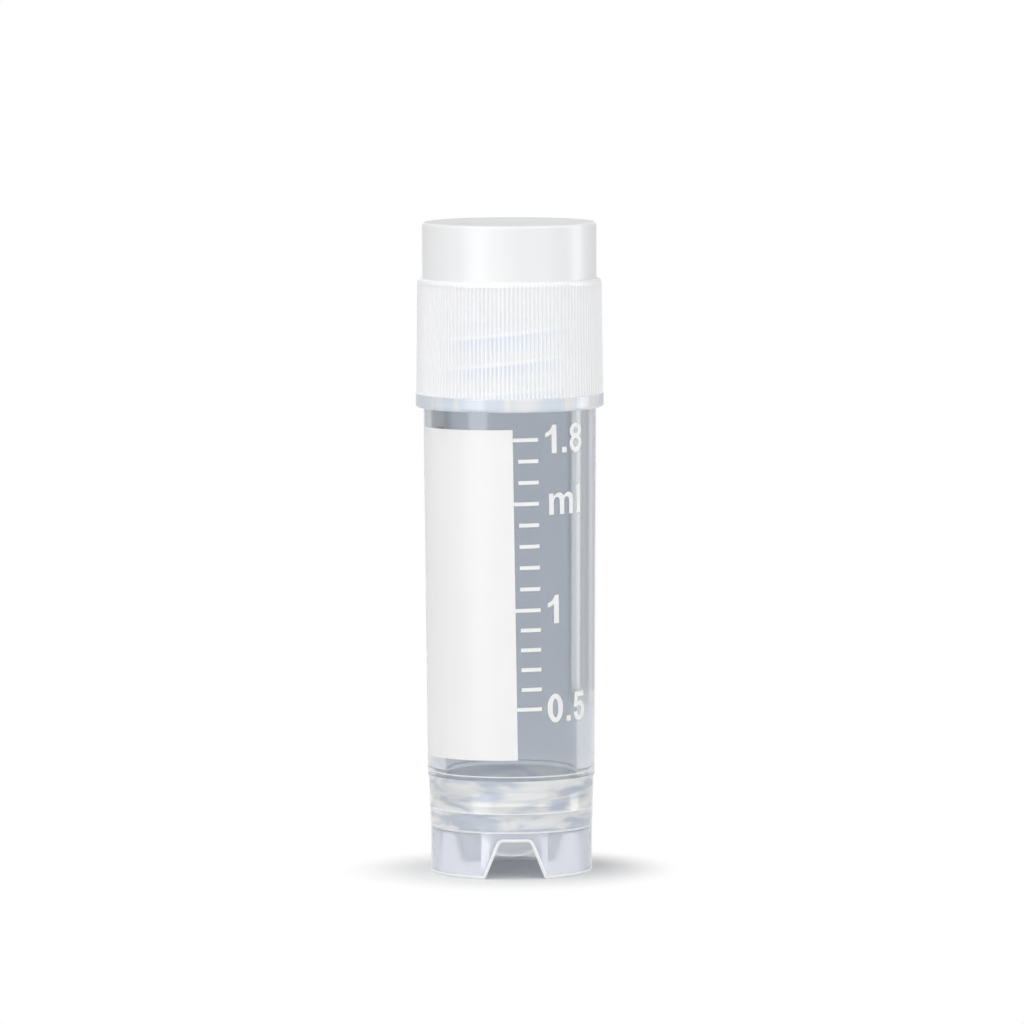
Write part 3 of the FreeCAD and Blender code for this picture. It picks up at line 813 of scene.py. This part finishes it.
def tube_profile():
    """The tube above its foot as (radius, height, round) corners: up the outside, then down the bore."""
    step_foot = tube_radius(STEP_HEIGHT) - STEP_WIDTH
    lip = FOOT_RADIUS + FOOT_LIP
    return [
        (FOOT_RADIUS, FOOT_HEIGHT - FOOT_LINE, 0.0),
        (FOOT_RADIUS - FOOT_LINE, FOOT_HEIGHT, 0.02),
        (lip, FOOT_HEIGHT + FOOT_LINE, 0.03),
        *ring_line(LOW_RING, lip, step_foot),
        (step_foot, STEP_HEIGHT - STEP_RISE, 0.5),
        (tube_radius(STEP_HEIGHT), STEP_HEIGHT, 0.4),
        *ring_line(HIGH_RING, tube_radius(HIGH_RING), tube_radius(HIGH_RING)),
        (SHOULDER_RADIUS, SHOULDER_HEIGHT, SHOULDER_ROUND),
        (NECK_RADIUS, SHOULDER_HEIGHT, 0.08),
        *[(NECK_RADIUS, height, 0.0) for height in thread_rows(NECK_LOW, NECK_HIGH, NECK_THREAD_ROW)],
        (NECK_RADIUS, VIAL_TOP, MOUTH_ROUND),
        (MOUTH_BORE, VIAL_TOP, MOUTH_ROUND),
        (FLOOR_RADIUS, FLOOR_HEIGHT, BOWL_ROUND),
        (0.3, FLOOR_HEIGHT, 0.0),
    ]


def make_vial():
    """The tube with its floor, threaded neck and notched foot, all one moulding."""
    rim = foot_rim()
    recess = rounded(
        [
            (DOME_RADIUS + 0.1, RECESS_HEIGHT, 0.0),
            (RECESS_RADIUS, RECESS_HEIGHT, RECESS_ROUND),
            (RECESS_RADIUS, NOTCH_HEIGHT + 0.2, 0.0),
        ]
    )
    below = dome_profile() + [place for place, normal in recess]
    above = [place for place, normal in rounded(tube_profile())]
    rows = turned_rows(below, [turn for turn, radius, height in rim[0]])
    rows += [[at(*spot) for spot in ring] for ring in rim]
    rows += turned_rows(above, [turn for turn, radius, height in rim[-1]])
    vial = new_holder("vial_tube", skin(rows), CLEAR)
    ridge = {"wall_radius": NECK_RADIUS, "ridge": NECK_RIDGE, "crest_width": NECK_CREST_WIDTH}
    grow_thread(vial, CLEAR, THREAD_TURN, NECK_THREAD_FOOT, NECK_THREAD_RISE, **ridge)
    make_plain(vial)
    columns = len(rim[0])
    rim_faces = range(len(below) * columns, (len(below) + len(rim) - 1) * columns)

    def finish(number, height, reach):
        near_line = FOOT_HEIGHT - FOOT_LINE < height < FOOT_HEIGHT + FOOT_LINE and reach > RECESS_RADIUS
        off_ring = min(abs(height - LOW_RING), abs(height - HIGH_RING))
        # The rim's faces, the foot line and the fine rings take the painted edge highlight.
        if number in rim_faces or near_line or off_ring < RING_WIDTH / 2 and reach > FOOT_RADIUS:
            return EDGE_HIGHLIGHT
        if height < FOOT_HEIGHT:
            return FOOT
        thick = reach > MOUTH_BORE or height < FLOOR_HEIGHT - 0.05
        return BASE if height < STEP_HEIGHT and thick else CLEAR

    paint(vial, (CLEAR, BASE, EDGE_HIGHLIGHT, FOOT), finish)
    finish_moulding(vial, "vial")


def cap_profile():
    """The cap as (radius, height, round) corners: down the outside, then up the inside."""
    return [
        (1.0, CAP_HEIGHT, 0.0),
        (3.5, CAP_HEIGHT, 0.0),
        (HEAD_RADIUS, CAP_HEIGHT, HEAD_ROUND),
        (HEAD_RADIUS, COLLAR_TOP, 0.06),
        (COLLAR_RADIUS, COLLAR_TOP, COLLAR_ROUND),
        (COLLAR_RADIUS, RIB_TOP, 0.0),
        (COLLAR_RADIUS, RIB_TOP - 0.03, 0.0),
        (SKIRT_RADIUS, BAND_HEIGHT, 0.0),
        (BAND_RADIUS, BAND_HEIGHT, 0.02),
        (BAND_RADIUS, 0.0, 0.2),
        (RIM_BORE, 0.0, 0.1),
        (RIM_BORE, RIM_BORE_TOP, 0.05),
        (CAP_BORE, RIM_BORE_TOP, 0.05),
        *[(CAP_BORE, height, 0.0) for height in thread_rows(CAP_LOW, CAP_HIGH, CAP_THREAD_ROW)],
        (CAP_BORE, BORE_TOP, 0.0),
        (HEAD_BORE, HEAD_BORE_FOOT, 0.0),
        (HEAD_BORE, CEILING, 0.08),
        (BOSS_RADIUS, CEILING, 0.08),
        (BOSS_RADIUS, CEILING - BOSS_DROP, 0.1),
        (1.0, CEILING - BOSS_DROP, 0.0),
    ]


def make_cap():
    """The screw cap: smooth head, ribbed skirt, plain band, inner thread and the washer's boss."""
    columns = RIB_COUNT * COLUMNS_PER_RIB
    turns = [math.tau * k / columns for k in range(columns)]
    rows = turned_rows([(place.x, place.y + CAP_SEAT) for place, normal in rounded(cap_profile())], turns)
    cap = new_holder("cap_shell", skin(rows), MILKY)
    grow(
        cap,
        RIBS,
        {"Count": RIB_COUNT, "Land": RIB_LAND, "Material": MILKY},
        wall_radius=(SKIRT_RADIUS + COLLAR_RADIUS) / 2,
        wall_slack=(SKIRT_RADIUS - COLLAR_RADIUS) / 2 + WALL_SLACK / 2,
        low=CAP_SEAT + BAND_HEIGHT - 0.005,
        high=CAP_SEAT + RIB_TOP - 0.01,
        depth=RIB_DEPTH,
    )
    ridge = {"wall_radius": CAP_BORE, "ridge": -CAP_RIDGE, "crest_width": CAP_CREST_WIDTH}
    grow_thread(cap, MILKY, CAP_THREAD_TURN, CAP_THREAD_FOOT, CAP_THREAD_RISE, **ridge)
    make_plain(cap)

    def finish(number, height, reach):
        height -= CAP_SEAT
        threaded = CAP_LOW < height < CAP_HIGH and reach < CAP_BORE - 0.05
        if height > CAP_HEIGHT - 0.01:
            return TOP
        if height > COLLAR_TOP and reach > HEAD_BORE + 0.2:
            return SATIN
        if height < BAND_HEIGHT and reach > RIM_BORE + 0.05:
            return RIM_BAND
        return CAP_INSIDE if reach < RIM_BORE + 0.05 and not threaded else MILKY

    paint(cap, (MILKY, SATIN, RIM_BAND, CAP_INSIDE, TOP), finish)
    finish_moulding(cap, "cap")


def make_washer():
    """The silicone washer between the mouth and the cap's ceiling."""
    low, high = VIAL_TOP, VIAL_TOP + WASHER_THICKNESS
    corners = ((WASHER_HOLE, low), (WASHER_RADIUS, low), (WASHER_RADIUS, high), (WASHER_HOLE, high))
    profile = rounded([(radius, height, WASHER_ROUND) for radius, height in corners], closed=True)
    turns = [math.tau * k / WASHER_COLUMNS for k in range(WASHER_COLUMNS)]
    rows = turned_rows([place for place, normal in profile], turns)
    finish_moulding(new_holder("washer", skin(rows, closed=True), SILICONE), "gasket")


# ---------------------------------------------------------------- the print


def wrap(across, up, lift):
    """A point of the flat plate put on the tube, in metres: lift is how far it stands out."""
    turned = Matrix.Rotation(PRINT_TURN, 2) @ Vector((across, up - PRINT_PIVOT))
    height = turned.y + PRINT_PIVOT
    radius = tube_radius(height)
    return at(turned.x / radius, radius + lift, height) * MM


def slice_up(mesh, step):
    """Cut a flat mesh along lines up the plate, so that it can follow the tube's curve."""
    low = min(v.co.x for v in mesh.verts)
    high = max(v.co.x for v in mesh.verts)
    count = math.ceil((high - low) / step)
    for number in range(1, count):
        cut = low + (high - low) * number / count
        bmesh.ops.bisect_plane(
            mesh,
            geom=mesh.verts[:] + mesh.edges[:] + mesh.faces[:],
            plane_co=(cut, 0.0, 0.0),
            plane_no=(1.0, 0.0, 0.0),
        )


def thicken_on_tube(mesh):
    """Give a flat mesh the ink's thickness and wrap it round the tube."""
    raised = bmesh.ops.extrude_face_region(mesh, geom=mesh.faces[:])
    top = {item for item in raised["geom"] if isinstance(item, bmesh.types.BMVert)}
    for vert in mesh.verts:
        vert.co = wrap(vert.co.x, vert.co.y, INK_PROUD if vert in top else -INK_SUNK)
    bmesh.ops.recalc_face_normals(mesh, faces=mesh.faces)


def ink_piece(name, mesh):
    """Finish a flat bmesh as a printed piece that rides on the vial."""
    bmesh.ops.remove_doubles(mesh, verts=mesh.verts, dist=1e-4)
    slice_up(mesh, PRINT_STRIP)
    thicken_on_tube(mesh)
    piece = new_holder(name, mesh, INK)
    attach(piece, "vial")


def glyph_mesh(outlines, corner):
    """A flat letter from outlines of (x, y) points, with True after a smooth one. Inner ones are holes."""
    curve = bpy.data.curves.new("glyph", "CURVE")
    curve.dimensions = "2D"
    curve.fill_mode = "BOTH"
    curve.resolution_u = 8
    for points in outlines:
        spline = curve.splines.new("BEZIER")
        spline.bezier_points.add(len(points) - 1)
        spline.use_cyclic_u = True
        for point, (x, y, *smooth) in zip(spline.bezier_points, points):
            point.co = (x, y, 0.0)
            point.handle_left_type = point.handle_right_type = "AUTO" if smooth else "VECTOR"
    holder = bpy.data.objects.new("glyph", curve)
    data = bpy.data.meshes.new_from_object(holder)
    data.transform(Matrix.Translation(corner))
    bpy.data.objects.remove(holder)
    bpy.data.curves.remove(curve)
    return data


def oval(x, y, half_width, half_height, start=0, sweep=360, count=8):
    """Smooth points round an oval, or round part of one in degrees."""
    turns = [math.radians(start + sweep * k / 8) for k in range(count)]
    return [(x + half_width * math.cos(turn), y + half_height * math.sin(turn), True) for turn in turns]


def box(width, height):
    """A square-cornered outline."""
    return [(0.0, 0.0), (width, 0.0), (width, height), (0.0, height)]


ONE = [
    (0.50, 0.0), (0.91, 0.0), (0.91, 2.05), (0.60, 2.05), (0.36, 1.68, True), (0.0, 1.46), (0.0, 1.17),
    (0.28, 1.27, True), (0.50, 1.42),
]
FIVE = [
    (0.17, 2.05), (1.17, 2.05), (1.17, 1.69), (0.48, 1.69), (0.43, 1.32), (0.70, 1.38, True),
    (1.11, 1.16, True), (1.25, 0.70, True), (1.08, 0.20, True), (0.62, -0.02, True), (0.18, 0.14, True),
    (0.0, 0.58), (0.39, 0.62), (0.45, 0.39, True), (0.63, 0.31, True), (0.80, 0.42, True),
    (0.86, 0.69, True), (0.80, 0.95, True), (0.62, 1.06, True), (0.36, 0.92), (0.03, 0.97),
]
EM = [
    (0.0, 0.0), (0.38, 0.0), (0.38, 0.92), (0.45, 1.16, True), (0.64, 1.26, True), (0.84, 1.17, True),
    (0.90, 0.92), (0.90, 0.0), (1.28, 0.0), (1.28, 0.92), (1.35, 1.16, True), (1.52, 1.26, True),
    (1.70, 1.17, True), (1.76, 0.92), (1.76, 0.0), (2.13, 0.0), (2.13, 1.02), (2.03, 1.42, True),
    (1.66, 1.57, True), (1.22, 1.34), (1.08, 1.51, True), (0.80, 1.57, True), (0.36, 1.32), (0.36, 1.53),
    (0.0, 1.53),
]
EIGHT = oval(0.625, 0.62, 0.625, 0.64, -227, 274, 9) + oval(0.625, 1.50, 0.60, 0.57, -42, 264, 9)
# Each letter's outlines and the room that it takes along the line.
LETTERS = {
    "1": ([ONE], 1.40),
    ".": ([box(0.40, 0.40)], 0.71),
    "8": ([EIGHT, oval(0.625, 1.54, 0.24, 0.24), oval(0.625, 0.645, 0.30, 0.335)], 1.5),
    "0": ([oval(0.64, 1.025, 0.64, 1.04), oval(0.64, 1.025, 0.235, 0.69)], 1.63),
    "5": ([FIVE], 1.5),
    "m": ([EM], 2.54),
    "l": ([box(0.38, LETTER_HEIGHT)], 0.6),
}
# Each line of print: its text, its left edge and the height of its middle.
WORDS = {
    "mark_1.8": ("1.8", 2.72, HEIGHT_AT_FULL),
    "mark_ml": ("ml", 2.95, 27.32),
    "mark_1": ("1", 2.73, HEIGHT_AT_ONE),
    "mark_0.5": ("0.5", 2.61, HEIGHT_AT_HALF),
}


def print_words():
    """The marks by the scale, letter by letter."""
    for name, (text, left, middle) in WORDS.items():
        across = left
        word = bmesh.new()
        for letter in text:
            outlines, advance = LETTERS[letter]
            glyph = glyph_mesh(outlines, (across, middle - LETTER_HEIGHT / 2, 0.0))
            word.from_mesh(glyph)
            bpy.data.meshes.remove(glyph)
            across += advance
        ink_piece(name, word)


def print_panel():
    """The writing panel: a field of ink from just right of the front round to the left side."""
    mesh = bmesh.new()
    low, high = (PANEL_LEFT, PANEL_FOOT, 0.0), (PANEL_RIGHT, PANEL_TOP, 0.0)
    corners = (low, (high[0], low[1], 0.0), high, (low[0], high[1], 0.0))
    mesh.faces.new([mesh.verts.new(corner) for corner in corners])
    ink_piece("writing_panel", mesh)


def print_graduations():
    """A stroke at each 0.1 ml from 0.5 to 1.8. The long ones reach the writing panel."""
    below = (HEIGHT_AT_ONE - HEIGHT_AT_HALF) / 5
    above = (HEIGHT_AT_FULL - HEIGHT_AT_ONE) / 8
    mesh = bmesh.new()
    reach = mesh.verts.layers.float.new(REACH)
    for tenth in range(5, 19):
        rise = below if tenth < 10 else above
        vert = mesh.verts.new((TICK_RIGHT, HEIGHT_AT_ONE + (tenth - 10) * rise, 0.0))
        vert[reach] = TICK_RIGHT - (PANEL_RIGHT - PANEL_LAP if tenth in LONG_TENTHS else TICK_LEFT)
    scale_line = new_holder("scale_line", mesh)
    grow(scale_line, graduation_tree(), {"Stroke Width": TICK_WIDTH, "Material": INK})
    make_plain(scale_line)
    strokes = bmesh.new()
    strokes.from_mesh(scale_line.data)
    bpy.data.objects.remove(scale_line)
    ink_piece("graduations", strokes)


# ---------------------------------------------------------------- floor, light and camera


def lay_floor():
    """A wide sheet of paper on the plane that the vial stands on."""
    mesh = bmesh.new()
    bmesh.ops.create_grid(mesh, x_segments=1, y_segments=1, size=FLOOR_SIZE)
    new_holder("floor", mesh, floor_paper())


def set_tent():
    """A light tent close round the vial. Only gloss and clear plastic show it."""
    mesh = bmesh.new()
    size = {"radius1": TENT_RADIUS, "radius2": TENT_RADIUS, "depth": TENT_HEIGHT}
    bmesh.ops.create_cone(mesh, cap_ends=False, segments=TENT_COLUMNS, **size)
    bmesh.ops.translate(mesh, verts=mesh.verts, vec=(0.0, 0.0, TENT_HEIGHT / 2))
    tent = new_holder("light_tent", mesh, tent_cloth())
    tent.visible_camera = False
    tent.visible_diffuse = False
    tent.visible_shadow = False


def soft_box(name, azimuth, elevation, distance, size, power):
    """A square lamp that faces the middle of the vial."""
    lamp = bpy.data.lights.new(name, "AREA")
    lamp.shape = "SQUARE"
    lamp.size = size
    lamp.energy = power
    holder = put_in_scene(name, lamp)
    middle = Vector((0.0, 0.0, CAP_TOP / 2 * MM))
    turn, lift = math.radians(azimuth), math.radians(elevation)
    way = Vector((math.sin(turn) * math.cos(lift), -math.cos(turn) * math.cos(lift), math.sin(lift)))
    holder.location = middle + way * distance
    holder.rotation_euler = (-way).to_track_quat("-Z", "Y").to_euler()


def light_world():
    """A pale room, brighter overhead than at the horizon, and to the right than to the left."""
    world = bpy.data.worlds.new("soft room")
    world.use_nodes = True
    tree = world.node_tree
    sky = tree.nodes["Background"]
    sky.inputs["Color"].default_value = (*WHITE, 1.0)
    x, y, z = split_place(tree, "Generated")
    climb = {"From Min": 0.0, "From Max": ROOM_CLIMB, "To Min": ROOM_LOW, "To Max": ROOM_HIGH}
    rise = add_node(tree, "ShaderNodeMapRange", climb)
    feed(tree, rise.inputs["Value"], z)
    feed(tree, sky.inputs["Strength"], calc(tree, "MULTIPLY_ADD", x, ROOM_LEAN, rise.outputs["Result"]))
    bpy.context.scene.world = world


def set_camera():
    """A long lens, a little above the vial, level with its middle."""
    camera = bpy.data.cameras.new("camera")
    camera.sensor_width = SENSOR_WIDTH
    camera.lens = LENS
    camera.clip_start = NEAREST
    holder = put_in_scene("camera", camera)
    back = Vector((0.0, -math.cos(CAMERA_TILT), math.sin(CAMERA_TILT)))
    holder.location = CAMERA_TARGET + CAMERA_DISTANCE * back
    aim = Matrix.Rotation(math.pi / 2 - CAMERA_TILT, 4, "X") @ Matrix.Rotation(CAMERA_ROLL, 4, "Z")
    holder.rotation_euler = aim.to_euler()
    bpy.context.scene.camera = holder


SURFACE = moulded_surface_group()
CLEAR = clear_wall()
BASE = base_with_painted_highlights()
FOOT = plain_finish("clear foot", clear_by(0.66), (0.80, 0.83, 0.92), (0.88, 0.90, 0.96), (0.08, 0.16))
# A painted highlight: near-white on the foot's rim, the foot line and the fine rings of the base.
EDGE_HIGHLIGHT = plain_finish("painted edge highlight", clear_by(0.1), (0.94, 0.95, 0.97), (0.97, 0.975, 0.985), (0.3, 0.38))
MILKY = milky_skirt()
SATIN = plain_finish("satin head", clear_by(0.0), (0.82, 0.825, 0.835), (0.86, 0.865, 0.87), (0.28, 0.33))
TOP = plain_finish("satin roof", clear_by(0.3), (0.80, 0.805, 0.82), (0.84, 0.845, 0.855), (0.34, 0.44))
RIM_BAND = clear_band()
CAP_INSIDE = plain_finish(
    "cap's inner wall", clear_by(0.9), (0.96, 0.975, 0.995), (0.98, 0.985, 1.0), (0.12, 0.18)
)
SILICONE = plain_finish(
    "milky silicone",
    {"IOR": SILICONE_IOR, "Subsurface Weight": 0.4, "Subsurface Scale": 0.5 * MM},
    (0.84, 0.84, 0.82),
    (0.90, 0.90, 0.885),
    (0.45, 0.6),
    grain=2500.0,
    grain_share=0.7,
    flow=300.0,
    relief=0.15,
)
INK = plain_finish(
    "white screen ink",
    {"IOR": INK_IOR, "Subsurface Weight": 1.0, "Subsurface Radius": WHITE, "Subsurface Scale": 0.03 * MM},
    (0.87, 0.873, 0.865),
    (0.92, 0.923, 0.915),
    (0.38, 0.5),
    grain=3500.0,
    grain_share=0.8,
    flow=500.0,
    relief=0.12,
)
THREAD = screw_thread_tree()
RIBS = grip_ribs_tree()

make_vial()
make_cap()
make_washer()
print_panel()
print_graduations()
print_words()
lay_floor()
light_world()
set_tent()
for name, setting in LAMPS.items():
    soft_box(name, *setting)
set_camera()
scene = bpy.context.scene
scene.view_settings.view_transform = "Standard"
for kind, count in BOUNCES.items():
    setattr(scene.cycles, kind, count)
